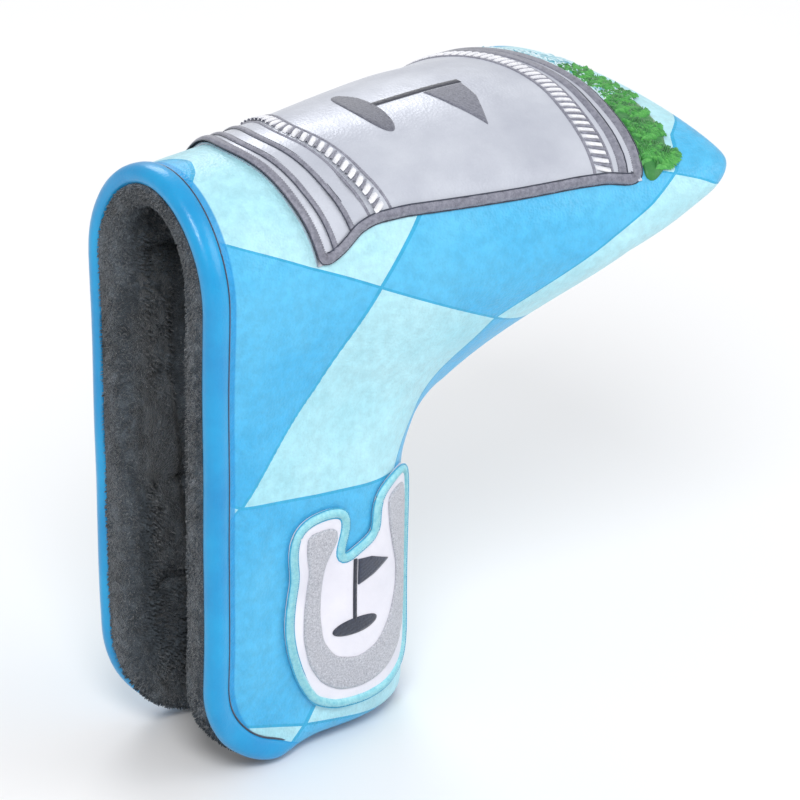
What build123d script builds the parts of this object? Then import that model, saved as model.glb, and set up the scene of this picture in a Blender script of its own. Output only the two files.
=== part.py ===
from build123d import *
import math
import os

os.makedirs("parts", exist_ok=True)

# Head cover for a blade putter. The origin is in the middle of the mouth of the head pocket, in the
# plane of the heel edge: +X runs from heel to toe, Y = 0 is the plane between the two flaps, +Z is up.

# Driving dimensions, in mm.
LENGTH = 140.3            # heel edge to toe
CREST_Z = 36.5            # top of the crown
CREST_DROP = 10.6         # how far the crest falls by the toe
DROP_START_X = 75.0
BOTTOM_Z = -113.0         # lower edge of the flaps
CUT_Z = -46.5             # the flaps hang below this height
HEEL_HALF_WIDTH = 23.4
FLAP_HALF_WIDTH = 22.5
FLAP_FOOT_HALF_WIDTH = 20.5
TOE_HALF_WIDTH = 46.5
TOE_THICKNESS = 17.7
SPINE_X = 67.8            # outer face of the closed edge of the shaft arm
SPINE_FLARE = 1.2         # how far the spine leans out at its foot
CORNER_RADIUS = 14.9      # hollow corner between the shaft arm and the toe arm
CORNER_Z = -50.6
UNDERSIDE_SLOPE = 0.54
NOSE_PINCH = 4.0          # each of top and underside, at the very toe
NOSE_RADIUS = 9.0
PLAN_PINCH = 0.3          # share of the width lost at the very toe
CREST_ROUND = 28.0
SEAM_ROUND = 26.0
FRONT_CORNER_R = 25.0     # lower corner of each flap, at the mouth
REAR_CORNER_R = 9.0       # lower corner of each flap, at the spine

# Layers, as depths below the outer face of the leather.
LEATHER = 1.2
FOAM_OUTER = 1.3
FOAM_INNER = 4.0
LINING_OUTER = 4.1
LINING_INNER = 7.7

# Applied pieces, as heights above the leather.
PATCH_FOOT = 0.1
PATCH_TOP = 0.8
STITCH_FOOT = 0.9
STITCH_TOP = 1.6
BINDING_PROUD = 1.0
BINDING_WIDTH = 4.2
BINDING_LIP = 1.4

# Flap hinge.
HINGE_X = 70.2
FLAP_CLOSE_DEG = 10.0
WEDGE_DEG = FLAP_CLOSE_DEG + 0.5
FLAP_CLEARANCE = 0.3      # half of the gap between the flaps, and all of the gap to the crown

MAGNET_R = 6.0
MAGNET_T = 1.8
MAGNET_GAP = 0.2
MAGNET_X = 13.0
MAGNET_HEIGHTS = (-62.0, -92.0)
THINNEST_HOLLOW = 0.8     # the pocket pinches down to this at the toe
TOE_PAD_X = 119.0
TOE_PAD_Z = 14.6
TOE_PAD_DEPTH = 12.0
TOE_PAD_HALF_WIDTH = 31.0
TOE_PAD_HALF_HEIGHT = 4.6
HALF_GAP = 0.05           # half of the gap along the seam between the two sides

# The cup, in side view.
FOOT_X = 20.5
FOOT_LEAN = 0.36
RIM_X = 119.5
RIM_LEAN = 0.42
CUP_EDGE_Z = 20.3
CUP_FOOT_Z = 14.4
CUP_BORDER = 2.6
FOOT_BANDS = ((4.0, 5.6), (9.3, 10.9), (14.6, 15.4))
FOOT_ROPE = (16.2, 19.8)
RIM_BANDS = ((3.6, 6.0), (7.0, 7.6))
RIM_ROPE = (8.2, 12.0)
CUP_FLAG_X = 76.0
CUP_FLAG_Y = -3.0
CUP_FLAG_SIZE = 26.0
EMBROIDERY_FLOOR_Z = 14.0
ICE_OUTLINE = ((112, 30), (121, 30), (127.5, 16), (128, -12), (118, -18), (118, 20))
MINT_OUTLINE = ((112, -46), (118, -46), (124, -42), (128, -33), (128, -22), (132, -4), (125, -10), (112, -22))

# The horseshoe, in side view.
SHOE_X = 42.5
SHOE_Z = -80.0
SHOE_HALF_WIDTH = 21.6
SHOE_HALF_HEIGHT = 24.6
SHOE_TOP_Z = -50.2
SHOE_NOTCH_RISE = 13.0
SHOE_NOTCH_WIDTH = 9.0
SHOE_ARM_X = 12.6
SHOE_ARM_WIDTH = 16.2
SHOE_ARM_HEIGHT = 26.0
SHOE_ARM_Z = SHOE_TOP_Z - SHOE_ARM_HEIGHT / 2
SHOE_BORDER = 2.0
SHOE_FILL_IN = 3.4
SHOE_FILL_WIDTH = 6.4
SHOE_FLAG_SIZE = 15.0

VIRTUAL_FRONT_X = -45.0   # the lofted body runs on past the mouth and is cut back at X = 0
MOUTH_CHORD_ENDS = (CORNER_Z, -28.0, -8.0, 8.0)
CREST_CHORD_ENDS = (-30.0, -12.0, 3.0, 18.0, 34.0, 50.0, 64.0)
CREST_CHORD_LAG = 10.0
CORNER_X = SPINE_X + CORNER_RADIUS
UNDERSIDE_ANGLE = math.pi / 2 + math.atan(UNDERSIDE_SLOPE)
UNDERSIDE_X = CORNER_X + CORNER_RADIUS * math.cos(UNDERSIDE_ANGLE)
UNDERSIDE_Z = CORNER_Z + CORNER_RADIUS * math.sin(UNDERSIDE_ANGLE)
TOE_TOP_Z = CREST_Z - CREST_DROP
UNDERSIDE_CURL = TOE_TOP_Z - TOE_THICKNESS - UNDERSIDE_Z - UNDERSIDE_SLOPE * (LENGTH - UNDERSIDE_X)
BIG = 400.0


def smooth(t):
    """Ease from 0 to 1."""
    t = min(max(t, 0.0), 1.0)
    return t * t * (3 - 2 * t)


def rounding(depth, radius):
    """Quarter-circle rounding: 0 at the edge, 1 once the depth passes the radius."""
    q = min(max(depth / radius, 0.0), 1.0)
    return math.sqrt(1 - (1 - q) ** 2)


def nose(x):
    """How far the top and the underside draw together at the toe."""
    return NOSE_PINCH * (1 - rounding(LENGTH - x, NOSE_RADIUS))


def crest(x):
    """Height of the top line at X."""
    fall = max(0.0, (x - DROP_START_X) / (LENGTH - DROP_START_X))
    return CREST_Z - CREST_DROP * fall ** 2 - nose(x)


def underside(x):
    """Height of the lower seam of the toe arm at X."""
    run = x - UNDERSIDE_X
    curl = UNDERSIDE_CURL * (run / (LENGTH - UNDERSIDE_X)) ** 2
    return UNDERSIDE_Z + UNDERSIDE_SLOPE * run + curl + nose(x)


def half_width(x, z):
    """Widest half width of the body at X and Z, before its edges are rounded."""
    along = max(x / LENGTH, 0.0) ** 0.85
    arm = HEEL_HALF_WIDTH + (TOE_HALF_WIDTH - HEEL_HALF_WIDTH) * smooth(along)
    rise = min(max((z + 118.0) / 60.0, 0.0), 1.0)
    flap = FLAP_FOOT_HALF_WIDTH + (FLAP_HALF_WIDTH - FLAP_FOOT_HALF_WIDTH) * rise
    share = smooth((z + 33.0) / 40.0)
    return flap + (arm - flap) * share


def chords():
    """Section lines in the plane Y = 0, each from the seam side to the mouth or the crest."""
    lines = []
    for z in (BOTTOM_Z - 8.0, -98.0, -74.0):
        lean = SPINE_FLARE * max(0.0, 1 - (z - BOTTOM_Z) / 25.0) ** 2
        lines.append(((SPINE_X + lean, z), (VIRTUAL_FRONT_X, z), False))
    ends = [((VIRTUAL_FRONT_X, z), False) for z in MOUTH_CHORD_ENDS]
    ends += [((x, crest(x)), True) for x in CREST_CHORD_ENDS]
    for step, (outer, closed) in enumerate(ends):
        angle = math.pi + (UNDERSIDE_ANGLE - math.pi) * step / (len(ends) - 1)
        seam = (CORNER_X + CORNER_RADIUS * math.cos(angle), CORNER_Z + CORNER_RADIUS * math.sin(angle))
        lines.append((seam, outer, closed))
    for part in (0.1, 0.25, 0.4, 0.55, 0.7, 0.82, 0.92, 0.97, 1.0):
        x = UNDERSIDE_X + (LENGTH - UNDERSIDE_X) * part
        top_x = x - CREST_CHORD_LAG * (1 - smooth(part / 0.5))
        lines.append(((x, underside(x)), (top_x, crest(top_x)), True))
    return lines


def section_width(x, z, seam_depth, inset):
    """Half width of the body, shrunk by the inset, at a point seam_depth in from the shrunk seam."""
    height = 75.0
    if x > UNDERSIDE_X:
        height = crest(x) - underside(min(x, LENGTH)) - 2 * inset
    crest_round = min(CREST_ROUND - inset, 0.46 * height)
    seam_round = min(SEAM_ROUND - inset, 0.54 * height)
    width = half_width(x, z) - inset
    width *= rounding(crest(x) - inset - z, crest_round) * rounding(seam_depth, seam_round)
    return width * (1 - PLAN_PINCH * (1 - rounding(LENGTH - x, NOSE_RADIUS)))


def curve_of(chord, inset, steps):
    """Points of one side of a section, in the section's own plane, from the seam outwards."""
    seam, outer, closed = chord
    dx, dz = outer[0] - seam[0], outer[1] - seam[1]
    reach = math.hypot(dx, dz)
    start = min(inset, reach / 2 - THINNEST_HOLLOW / 2)
    end = max(reach - inset, reach / 2 + THINNEST_HOLLOW / 2) if closed else reach
    points = []
    for step in range(steps + 1):
        t = (1 - math.cos(math.pi * step / steps)) / 2
        u = start + (end - start) * t
        width = section_width(seam[0] + dx * u / reach, seam[1] + dz * u / reach, u - start, inset)
        if step == 0 or (closed and step == steps):
            width = 0.0
        points.append((u, max(width, 0.0) + HALF_GAP))
    return points


def half_layer(outer_inset, inner_inset):
    """The +Y half of the layer between two depths, from the seam to the mouth or the crest."""
    steps = 14
    with BuildPart() as layer:
        for chord in chords():
            seam, outer, closed = chord
            dx, dz = outer[0] - seam[0], outer[1] - seam[1]
            reach = math.hypot(dx, dz)
            plane = Plane(origin=(seam[0], 0, seam[1]), x_dir=(dx / reach, 0, dz / reach),
                          z_dir=(dz / reach, 0, -dx / reach))
            outside = curve_of(chord, outer_inset, steps)
            inside = curve_of(chord, inner_inset, steps)
            with BuildSketch(plane):
                with BuildLine():
                    Spline(*outside)
                    Line(outside[-1], inside[-1])
                    Spline(*reversed(inside))
                    Line(inside[0], outside[0])
                make_face()
        loft(ruled=True)
    return layer.part


def side_prism(front_x, margin):
    """The body's side view back to the mouth, with the flaps' rounded lower corners, as a prism."""
    low = BOTTOM_Z + margin
    rear = SPINE_X + 2.4
    with BuildPart() as region:
        with BuildSketch(Plane.XZ.offset(-BIG / 2)):
            with BuildLine():
                Polyline((front_x, low), (rear, low), (rear, CORNER_Z), (LENGTH + 20, CORNER_Z),
                         (LENGTH + 20, CREST_Z + 20), (front_x, CREST_Z + 20), close=True)
            make_face()
            corners = vertices().group_by(Axis.Y)[0].sort_by(Axis.X)
            fillet(corners[0], FRONT_CORNER_R - margin)
            fillet(corners[-1], REAR_CORNER_R)
        extrude(amount=BIG)
    return region.part


def crown_of(half, region):
    """The crown's share of a half layer, with its mirror image."""
    with BuildPart() as piece:
        add(half)
        add(region, mode=Mode.INTERSECT)
        split(bisect_by=Plane.XY.offset(CUT_Z), keep=Keep.TOP)
        mirror(about=Plane.XZ)
    return piece.part


def flap_of(half, region, side):
    """One flap's share of a half layer: side -1 is near, +1 is far."""
    lean = math.radians(WEDGE_DEG)
    wedge = Plane(origin=(HINGE_X, -FLAP_CLEARANCE, 0), x_dir=(0, 0, 1),
                  z_dir=(math.sin(lean), -math.cos(lean), 0))
    with BuildPart() as piece:
        add(half)
        add(region, mode=Mode.INTERSECT)
        split(bisect_by=Plane.XY.offset(CUT_Z - FLAP_CLEARANCE), keep=Keep.BOTTOM)
        split(bisect_by=wedge, keep=Keep.TOP)
    if side < 0:
        return piece.part
    return piece.part.mirror(Plane.XZ)


def finish(piece, label):
    """Label a finished piece and write it."""
    piece.label = label
    export_step(piece, f"parts/{label}.step")
    print(label, "solids", len(piece.solids()), "volume", round(piece.volume, 1))


# Leather, foam and plush, each in three pieces: the crown with the toe arm, and the two flaps.
body_region = side_prism(0.0, 0.0)
leather = half_layer(0.0, LEATHER)
foam = half_layer(FOAM_OUTER, FOAM_INNER)
plush = half_layer(LINING_OUTER, LINING_INNER)
for name, side in (("near", -1), ("far", 1)):
    finish(flap_of(leather, body_region, side), f"{name}_flap_shell")
    finish(flap_of(plush, body_region, side), f"{name}_flap_lining")
finish(crown_of(foam, body_region), "crown_foam")
finish(crown_of(plush, body_region), "crown_lining")


def toe_section(inset):
    """Outline points of the flat end of the toe, shrunk by the inset."""
    chord = chords()[-1]
    side = [(width, underside(LENGTH) + depth) for depth, width in curve_of(chord, inset, 10)]
    return side + [(-width, height) for width, height in reversed(side)]


# The toe is closed by a leather cap outside and by a foam pad that stops the putter's toe.
with BuildPart() as toe_cap:
    with BuildSketch(Plane.YZ.offset(LENGTH + HALF_GAP)):
        with BuildLine():
            Polyline(*toe_section(0.0), close=True)
        make_face()
    extrude(amount=LEATHER)
with BuildPart() as crown_shell:
    add(crown_of(leather, body_region))
    add(toe_cap.part)
finish(crown_shell.part, "crown_shell")
with BuildPart() as toe_pad:
    with BuildSketch(Plane.YZ.offset(TOE_PAD_X)):
        with Locations((0, TOE_PAD_Z)):
            Ellipse(TOE_PAD_HALF_WIDTH, TOE_PAD_HALF_HEIGHT)
    extrude(amount=TOE_PAD_DEPTH)
finish(toe_pad.part, "toe_pad")


def magnet_discs(radius, thickness):
    """The two closure magnets of the near flap, standing in the middle of its foam."""
    with BuildPart() as discs:
        for z in MAGNET_HEIGHTS:
            depth = half_width(MAGNET_X, z) - (FOAM_OUTER + FOAM_INNER) / 2
            with BuildSketch(Plane.XZ.offset(depth - thickness / 2)):
                with Locations((MAGNET_X, z)):
                    Circle(radius)
            extrude(amount=thickness)
    return discs.part


with BuildPart() as flap_foam:
    add(flap_of(foam, body_region, -1))
    add(magnet_discs(MAGNET_R + MAGNET_GAP, MAGNET_T + MAGNET_GAP), mode=Mode.SUBTRACT)
magnets = magnet_discs(MAGNET_R, MAGNET_T)
finish(flap_foam.part, "near_flap_foam")
finish(magnets, "near_magnets")
finish(flap_foam.part.mirror(Plane.XZ), "far_flap_foam")
finish(magnets.mirror(Plane.XZ), "far_magnets")

# Binding: a tape folded over the edge of the mouth and of the flaps, outside the leather.
with BuildPart() as edge_strip:
    add(side_prism(0.0, 0.0))
    add(side_prism(BINDING_WIDTH, BINDING_WIDTH), mode=Mode.SUBTRACT)
with BuildPart() as edge_lip:
    add(side_prism(-BINDING_LIP, -BINDING_LIP))
    add(side_prism(-HALF_GAP, -HALF_GAP), mode=Mode.SUBTRACT)
with BuildPart() as tape:
    add(half_layer(-BINDING_PROUD, -PATCH_FOOT))
    add(edge_strip.part, mode=Mode.INTERSECT)
with BuildPart() as lip:
    add(half_layer(-BINDING_PROUD, FOAM_INNER))
    add(edge_lip.part, mode=Mode.INTERSECT)
with BuildPart() as binding:
    add(tape.part)
    add(lip.part)
with BuildPart() as everywhere:
    Box(2 * BIG, 2 * BIG, 2 * BIG)
finish(crown_of(binding.part, everywhere.part), "crown_binding")
finish(flap_of(binding.part, everywhere.part, -1), "near_flap_binding")
finish(flap_of(binding.part, everywhere.part, 1), "far_flap_binding")


def foot_x(z):
    """The cup's foot line in side view."""
    return FOOT_X + FOOT_LEAN * (CREST_Z - z)


def rim_x(z):
    """The cup's rim line in side view."""
    return RIM_X - RIM_LEAN * (CREST_Z - z)


def cup_outline(margin):
    """The cup in side view, shrunk by the margin all round but at its top, which wraps over the crest."""
    high = CREST_Z + 5
    with BuildSketch(Plane.XZ) as outline:
        with BuildLine():
            Polyline((foot_x(high), high + 20), (foot_x(CUP_FOOT_Z), CUP_FOOT_Z),
                     (foot_x(CUP_FOOT_Z) + 4.5, CUP_FOOT_Z + 1), (42, CUP_EDGE_Z + 1), (106, CUP_EDGE_Z),
                     (rim_x(CUP_EDGE_Z), CUP_EDGE_Z), (rim_x(high), high + 20), close=True)
        make_face()
        if margin > 0:
            offset(amount=-margin, kind=Kind.INTERSECTION)
    return outline.sketch


def prism(flat, reach):
    """A side-view sketch pulled both ways across the body."""
    with BuildPart() as solid:
        extrude(flat, amount=reach, both=True)
    return solid.part


def crosswise_band(line, first, last):
    """A strip in side view between two copies of a foot or rim line, moved along X."""
    low, high = CUP_EDGE_Z - 12, CREST_Z + 5
    with BuildSketch(Plane.XZ) as strip:
        with BuildLine():
            Polyline((line(low) + first, low), (line(low) + last, low),
                     (line(high) + last, high), (line(high) + first, high), close=True)
        make_face()
    return strip.sketch


def applied(layer, *regions):
    """The part of an applied half layer inside every region, with its mirror image."""
    with BuildPart() as piece:
        add(layer)
        for region in regions:
            add(region, mode=Mode.INTERSECT)
        mirror(about=Plane.XZ)
    return piece.part


# The cup: a silver base that wraps over the crown, with its stitched border, bands and rope rows.
patch_layer = half_layer(-PATCH_TOP, -PATCH_FOOT)
stitch_layer = half_layer(-STITCH_TOP, -STITCH_FOOT)
cup_prism = prism(cup_outline(0.0), BIG / 4)
cup_inner = prism(cup_outline(CUP_BORDER), BIG / 4)
with BuildPart() as border_prism:
    add(cup_prism)
    add(prism(cup_outline(CUP_BORDER - 2 * HALF_GAP), BIG / 4), mode=Mode.SUBTRACT)
finish(applied(patch_layer, cup_prism), "cup_base")
finish(applied(stitch_layer, border_prism.part), "cup_border")
for name, line, direction, spans in (
        ("cup_foot_bands", foot_x, 1, FOOT_BANDS),
        ("cup_foot_rope", foot_x, 1, (FOOT_ROPE,)),
        ("cup_rim_bands", rim_x, -1, RIM_BANDS),
        ("cup_rim_rope", rim_x, -1, (RIM_ROPE,))):
    with BuildPart() as bands:
        for first, last in spans:
            near_edge, far_edge = sorted((direction * first, direction * last))
            add(prism(crosswise_band(line, near_edge, far_edge), BIG / 4))
    finish(applied(stitch_layer, cup_inner, bands.part), name)


def pennant(plane, x, y, size):
    """A golf flag over its hole: pole, pennant and an oval, drawn on a plane."""
    with BuildSketch(plane) as flag:
        with Locations((x, y)):
            Rectangle(0.1 * size, size, align=(Align.CENTER, Align.MIN))
        with BuildLine():
            Polyline((x, y + size), (x + 0.62 * size, y + 0.78 * size), (x, y + 0.54 * size), close=True)
        make_face()
        with Locations((x, y)):
            Ellipse(0.42 * size, 0.13 * size)
    return flag.sketch


# Embroidery on the crown: the flag on the cup, and the ice and mint past the cup's rim.
flag_plane = Plane(origin=(CUP_FLAG_X, CUP_FLAG_Y, -BIG / 4), x_dir=(0, -1, 0), z_dir=(0, 0, 1))
with BuildPart() as whole_stitch:
    add(stitch_layer)
    mirror(about=Plane.XZ)
with BuildPart() as flag_column:
    extrude(pennant(flag_plane, 0, -CUP_FLAG_SIZE / 2, CUP_FLAG_SIZE), amount=BIG)
with BuildPart() as top_space:
    with Locations((0, 0, EMBROIDERY_FLOOR_Z)):
        Box(BIG, BIG, BIG, align=(Align.CENTER, Align.CENTER, Align.MIN))
with BuildPart() as cup_flag:
    add(whole_stitch.part)
    add(flag_column.part, mode=Mode.INTERSECT)
    add(top_space.part, mode=Mode.INTERSECT)
finish(cup_flag.part, "cup_flag")
with BuildPart() as whole_patch:
    add(patch_layer)
    mirror(about=Plane.XZ)
with BuildPart() as past_rim:
    add(prism(crosswise_band(rim_x, HALF_GAP * 3, 30.0), BIG / 4))
    add(top_space.part, mode=Mode.INTERSECT)


def top_column(outline, corner):
    """A tall prism over an outline seen from above."""
    with BuildPart() as column:
        with BuildSketch(Plane.XY.offset(-BIG / 4)):
            with BuildLine():
                Polyline(*outline, close=True)
            make_face()
            if corner > 0:
                fillet(vertices(), corner)
        extrude(amount=BIG)
    return column.part


with BuildPart() as mint_leaves:
    add(whole_patch.part)
    add(past_rim.part, mode=Mode.INTERSECT)
    add(top_column(MINT_OUTLINE, 1.5), mode=Mode.INTERSECT)
finish(mint_leaves.part, "mint_leaves")
with BuildPart() as ice_embroidery:
    add(whole_patch.part)
    add(past_rim.part, mode=Mode.INTERSECT)
    add(top_column(ICE_OUTLINE, 1.5), mode=Mode.INTERSECT)
    add(top_column(MINT_OUTLINE, 0.0), mode=Mode.SUBTRACT)
finish(ice_embroidery.part, "ice_embroidery")


def horseshoe_outline(margin):
    """The horseshoe patch in side view, shrunk by the margin: a rounded U with a notch in its top."""
    with BuildSketch(Plane.XZ) as outline:
        with Locations((SHOE_X, SHOE_Z)):
            Ellipse(SHOE_HALF_WIDTH - margin, SHOE_HALF_HEIGHT - margin)
        for side in (-1, 1):
            with Locations((SHOE_X + side * SHOE_ARM_X, SHOE_ARM_Z)):
                RectangleRounded(SHOE_ARM_WIDTH - 2 * margin, SHOE_ARM_HEIGHT - 2 * margin, 2.0)
        with Locations((SHOE_X, SHOE_Z + SHOE_NOTCH_RISE - margin)):
            Rectangle(SHOE_NOTCH_WIDTH + 2 * margin, 40.0, align=(Align.CENTER, Align.MIN),
                      mode=Mode.SUBTRACT)
    return outline.sketch


def near_applied(layer, *regions):
    """The part of an applied half layer inside every region, on the near flap only."""
    with BuildPart() as piece:
        add(layer)
        for region in regions:
            add(region, mode=Mode.INTERSECT)
        split(bisect_by=Plane.XY.offset(CUT_Z - FLAP_CLEARANCE), keep=Keep.BOTTOM)
    return piece.part


# The horseshoe: a pale base on the near flap with its border, its stitched shoe and a small flag.
with BuildSketch(Plane.XZ) as shoe_ring:
    add(horseshoe_outline(0.0))
    add(horseshoe_outline(SHOE_BORDER), mode=Mode.SUBTRACT)
with BuildSketch(Plane.XZ) as shoe_band:
    with Locations((SHOE_X, SHOE_Z)):
        Ellipse(SHOE_HALF_WIDTH - SHOE_FILL_IN, SHOE_HALF_HEIGHT - SHOE_FILL_IN)
        Ellipse(SHOE_HALF_WIDTH - SHOE_FILL_IN - SHOE_FILL_WIDTH,
                SHOE_HALF_HEIGHT - SHOE_FILL_IN - SHOE_FILL_WIDTH, mode=Mode.SUBTRACT)
        Rectangle(2 * SHOE_ARM_X, SHOE_HALF_HEIGHT, align=(Align.CENTER, Align.MIN), mode=Mode.SUBTRACT)
    for side in (-1, 1):
        with Locations((SHOE_X + side * (SHOE_ARM_X + 0.9), SHOE_ARM_Z)):
            Rectangle(SHOE_FILL_WIDTH + 1.6, SHOE_ARM_HEIGHT - 2 * SHOE_FILL_IN)
finish(near_applied(patch_layer, prism(horseshoe_outline(0.0), BIG / 4)), "horseshoe_base")
finish(near_applied(stitch_layer, prism(shoe_ring.sketch, BIG / 4)), "horseshoe_border")
finish(near_applied(stitch_layer, prism(shoe_band.sketch, BIG / 4)), "horseshoe_fill")
shoe_flag = pennant(Plane.XZ, SHOE_X - 2.0, SHOE_Z - 7.0, SHOE_FLAG_SIZE)
finish(near_applied(stitch_layer, prism(shoe_flag, BIG / 4)), "horseshoe_flag")
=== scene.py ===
"""Looks of the putter head cover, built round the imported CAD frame. Lengths here are in mm until
the meshes are made, in the frame's own axes: X heel to toe, -Y near side, Z up."""
import math

import bpy
import numpy as np
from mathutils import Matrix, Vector


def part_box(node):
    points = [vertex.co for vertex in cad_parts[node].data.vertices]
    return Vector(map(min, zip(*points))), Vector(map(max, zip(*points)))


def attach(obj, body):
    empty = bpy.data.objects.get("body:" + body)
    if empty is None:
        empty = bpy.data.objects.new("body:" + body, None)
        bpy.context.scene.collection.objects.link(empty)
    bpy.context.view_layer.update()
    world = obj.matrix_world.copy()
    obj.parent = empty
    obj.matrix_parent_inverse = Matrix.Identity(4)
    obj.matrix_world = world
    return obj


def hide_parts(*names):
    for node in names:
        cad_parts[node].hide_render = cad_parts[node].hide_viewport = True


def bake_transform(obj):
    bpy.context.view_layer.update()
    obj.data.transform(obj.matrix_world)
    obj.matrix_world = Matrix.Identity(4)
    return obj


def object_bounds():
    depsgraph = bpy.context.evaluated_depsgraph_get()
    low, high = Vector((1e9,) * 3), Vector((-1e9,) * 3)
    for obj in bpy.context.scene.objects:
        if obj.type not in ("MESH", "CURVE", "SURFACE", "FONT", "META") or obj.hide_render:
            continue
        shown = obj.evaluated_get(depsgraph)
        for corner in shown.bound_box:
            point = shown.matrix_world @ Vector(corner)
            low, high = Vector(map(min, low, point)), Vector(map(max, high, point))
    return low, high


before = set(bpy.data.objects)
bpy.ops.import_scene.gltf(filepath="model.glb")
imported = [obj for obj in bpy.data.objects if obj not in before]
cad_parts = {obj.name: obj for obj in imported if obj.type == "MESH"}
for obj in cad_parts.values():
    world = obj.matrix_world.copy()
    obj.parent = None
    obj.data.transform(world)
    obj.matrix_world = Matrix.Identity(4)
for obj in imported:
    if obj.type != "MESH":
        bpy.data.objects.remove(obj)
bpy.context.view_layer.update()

MM = 0.001
shell_low, shell_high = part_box("crown_shell")
flap_low, flap_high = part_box("near_flap_shell")

# ---- driving sizes: the CAD body's own, but for a rounder nose (NOSE_PINCH and PLAN_PINCH) ----
LENGTH = 140.3
CREST_Z = shell_high[2] / MM
CREST_DROP = 10.6
DROP_START_X = 75.0
BOTTOM_Z = flap_low[2] / MM
CUT_Z = flap_high[2] / MM
HEEL_HALF_WIDTH = 23.4
FLAP_HALF_WIDTH = 22.5
FLAP_FOOT_HALF_WIDTH = 20.5
TOE_HALF_WIDTH = 46.5
TOE_THICKNESS = 17.7
SPINE_X = 67.8
SPINE_FLARE = 1.2
CORNER_RADIUS = 14.9
CORNER_Z = -50.6
UNDERSIDE_SLOPE = 0.54
CREST_ROUND = 28.0
SEAM_ROUND = 26.0
FRONT_CORNER_R = 25.0
REAR_CORNER_R = 9.0
NOSE_PINCH = 8.0
NOSE_RADIUS = 9.0
PLAN_PINCH = 0.22
CORNER_X = SPINE_X + CORNER_RADIUS
UNDERSIDE_ANGLE = math.pi / 2 + math.atan(UNDERSIDE_SLOPE)
UNDERSIDE_X = CORNER_X + CORNER_RADIUS * math.cos(UNDERSIDE_ANGLE)
UNDERSIDE_Z = CORNER_Z + CORNER_RADIUS * math.sin(UNDERSIDE_ANGLE)
UNDERSIDE_CURL = CREST_Z - CREST_DROP - TOE_THICKNESS - UNDERSIDE_Z - UNDERSIDE_SLOPE * (LENGTH - UNDERSIDE_X)


# ---- the body's shape ----
def smooth(t):
    t = np.clip(t, 0.0, 1.0)
    return t * t * (3 - 2 * t)


def rounding(depth, radius):
    q = np.clip(depth / radius, 0.0, 1.0)
    return np.sqrt(np.maximum(1 - (1 - q) ** 2, 0.0))


def nose(x):
    return NOSE_PINCH * (1 - rounding(LENGTH - x, NOSE_RADIUS))


def crest(x):
    fall = np.maximum(0.0, (x - DROP_START_X) / (LENGTH - DROP_START_X))
    return CREST_Z - CREST_DROP * fall ** 2 - nose(x)


def underside(x):
    run = x - UNDERSIDE_X
    curl = UNDERSIDE_CURL * (run / (LENGTH - UNDERSIDE_X)) ** 2
    return UNDERSIDE_Z + UNDERSIDE_SLOPE * run + curl + nose(x)


def arm_half_width(x):
    along = np.maximum(x / LENGTH, 0.0) ** 0.85
    return HEEL_HALF_WIDTH + (TOE_HALF_WIDTH - HEEL_HALF_WIDTH) * smooth(along)


def half_width(x, z):
    rise = np.clip((z + 118.0) / 60.0, 0.0, 1.0)
    flap = FLAP_FOOT_HALF_WIDTH + (FLAP_HALF_WIDTH - FLAP_FOOT_HALF_WIDTH) * rise
    share = smooth((z + 33.0) / 40.0)
    width = flap + (arm_half_width(x) - flap) * share
    # the soft give of padded leather: low swells and the slight hollow behind the binding
    swell = 0.45 * np.sin(x / 11.0 + z / 17.0) * np.sin(z / 13.0 - x / 29.0 + 1.0)
    tuck = -0.8 * np.exp(-((x - 6.5) / 3.2) ** 2)
    # behind the mouth the lower edge of each flap turns under
    turned = 6.5 * (1 - rounding(z - BOTTOM_Z + 0.2, 8.0)) * smooth((x - 18.0) / 18.0)
    return width + swell + tuck - turned


def plan_nose(x):
    return 1 - PLAN_PINCH * (1 - rounding(LENGTH - x, NOSE_RADIUS))


def arm_height(x):
    inside = np.clip(x, UNDERSIDE_X, LENGTH)
    return np.where(x > UNDERSIDE_X, crest(inside) - underside(inside), 75.0)


def crest_radius(x):
    return np.minimum(CREST_ROUND, 0.46 * arm_height(x))


def seam_radius(x):
    return np.minimum(SEAM_ROUND, 0.54 * arm_height(x))


def spine(z):
    return SPINE_X + SPINE_FLARE * np.maximum(0.0, 1 - (z - BOTTOM_Z) / 25.0) ** 2


def width_at(x, z, seam_depth, inset):
    width = half_width(x, z) - inset
    width = width * rounding(crest(x) - inset - z, crest_radius(x) - inset)
    width = width * rounding(seam_depth, seam_radius(x) - inset)
    return width * plan_nose(x)


def section(s):
    """Seam end and outer end of the section line at s: 0 to 1 up the shaft arm, 1 to 2 round the
    hollow corner, 2 to 3 along the toe arm. The last value says if the outer end is on the crest."""
    if s < 1:
        z = BOTTOM_Z + (CORNER_Z - BOTTOM_Z) * s
        return (float(spine(z)), z), (0.0, z), False
    if s < 2:
        f = s - 1
        angle = math.pi + (UNDERSIDE_ANGLE - math.pi) * f
        seam = (CORNER_X + CORNER_RADIUS * math.cos(angle), CORNER_Z + CORNER_RADIUS * math.sin(angle))
        if f < 0.5:
            top = float(crest(0.0))
            return seam, (0.0, top - (top - CORNER_Z) * (1 - 2 * f) ** 2), False
        x = (UNDERSIDE_X - 10.0) * (2 * f - 1) ** 1.2
        return seam, (x, float(crest(x))), True
    f = s - 2
    f = 0.35 * f + 0.65 * math.sin(f * math.pi / 2)
    x = UNDERSIDE_X + (LENGTH - UNDERSIDE_X) * f
    top_x = x - 10.0 * (1 - float(smooth(f / 0.5)))
    return (x, float(underside(x))), (top_x, float(crest(top_x))), True


def corner_cut(z, radius, low):
    """How far a rounded lower corner stands back from its upright edge at height Z."""
    rise = np.clip(z - low, 0.0, radius)
    return radius - np.sqrt(np.maximum(radius ** 2 - (radius - rise) ** 2, 0.0))


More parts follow.
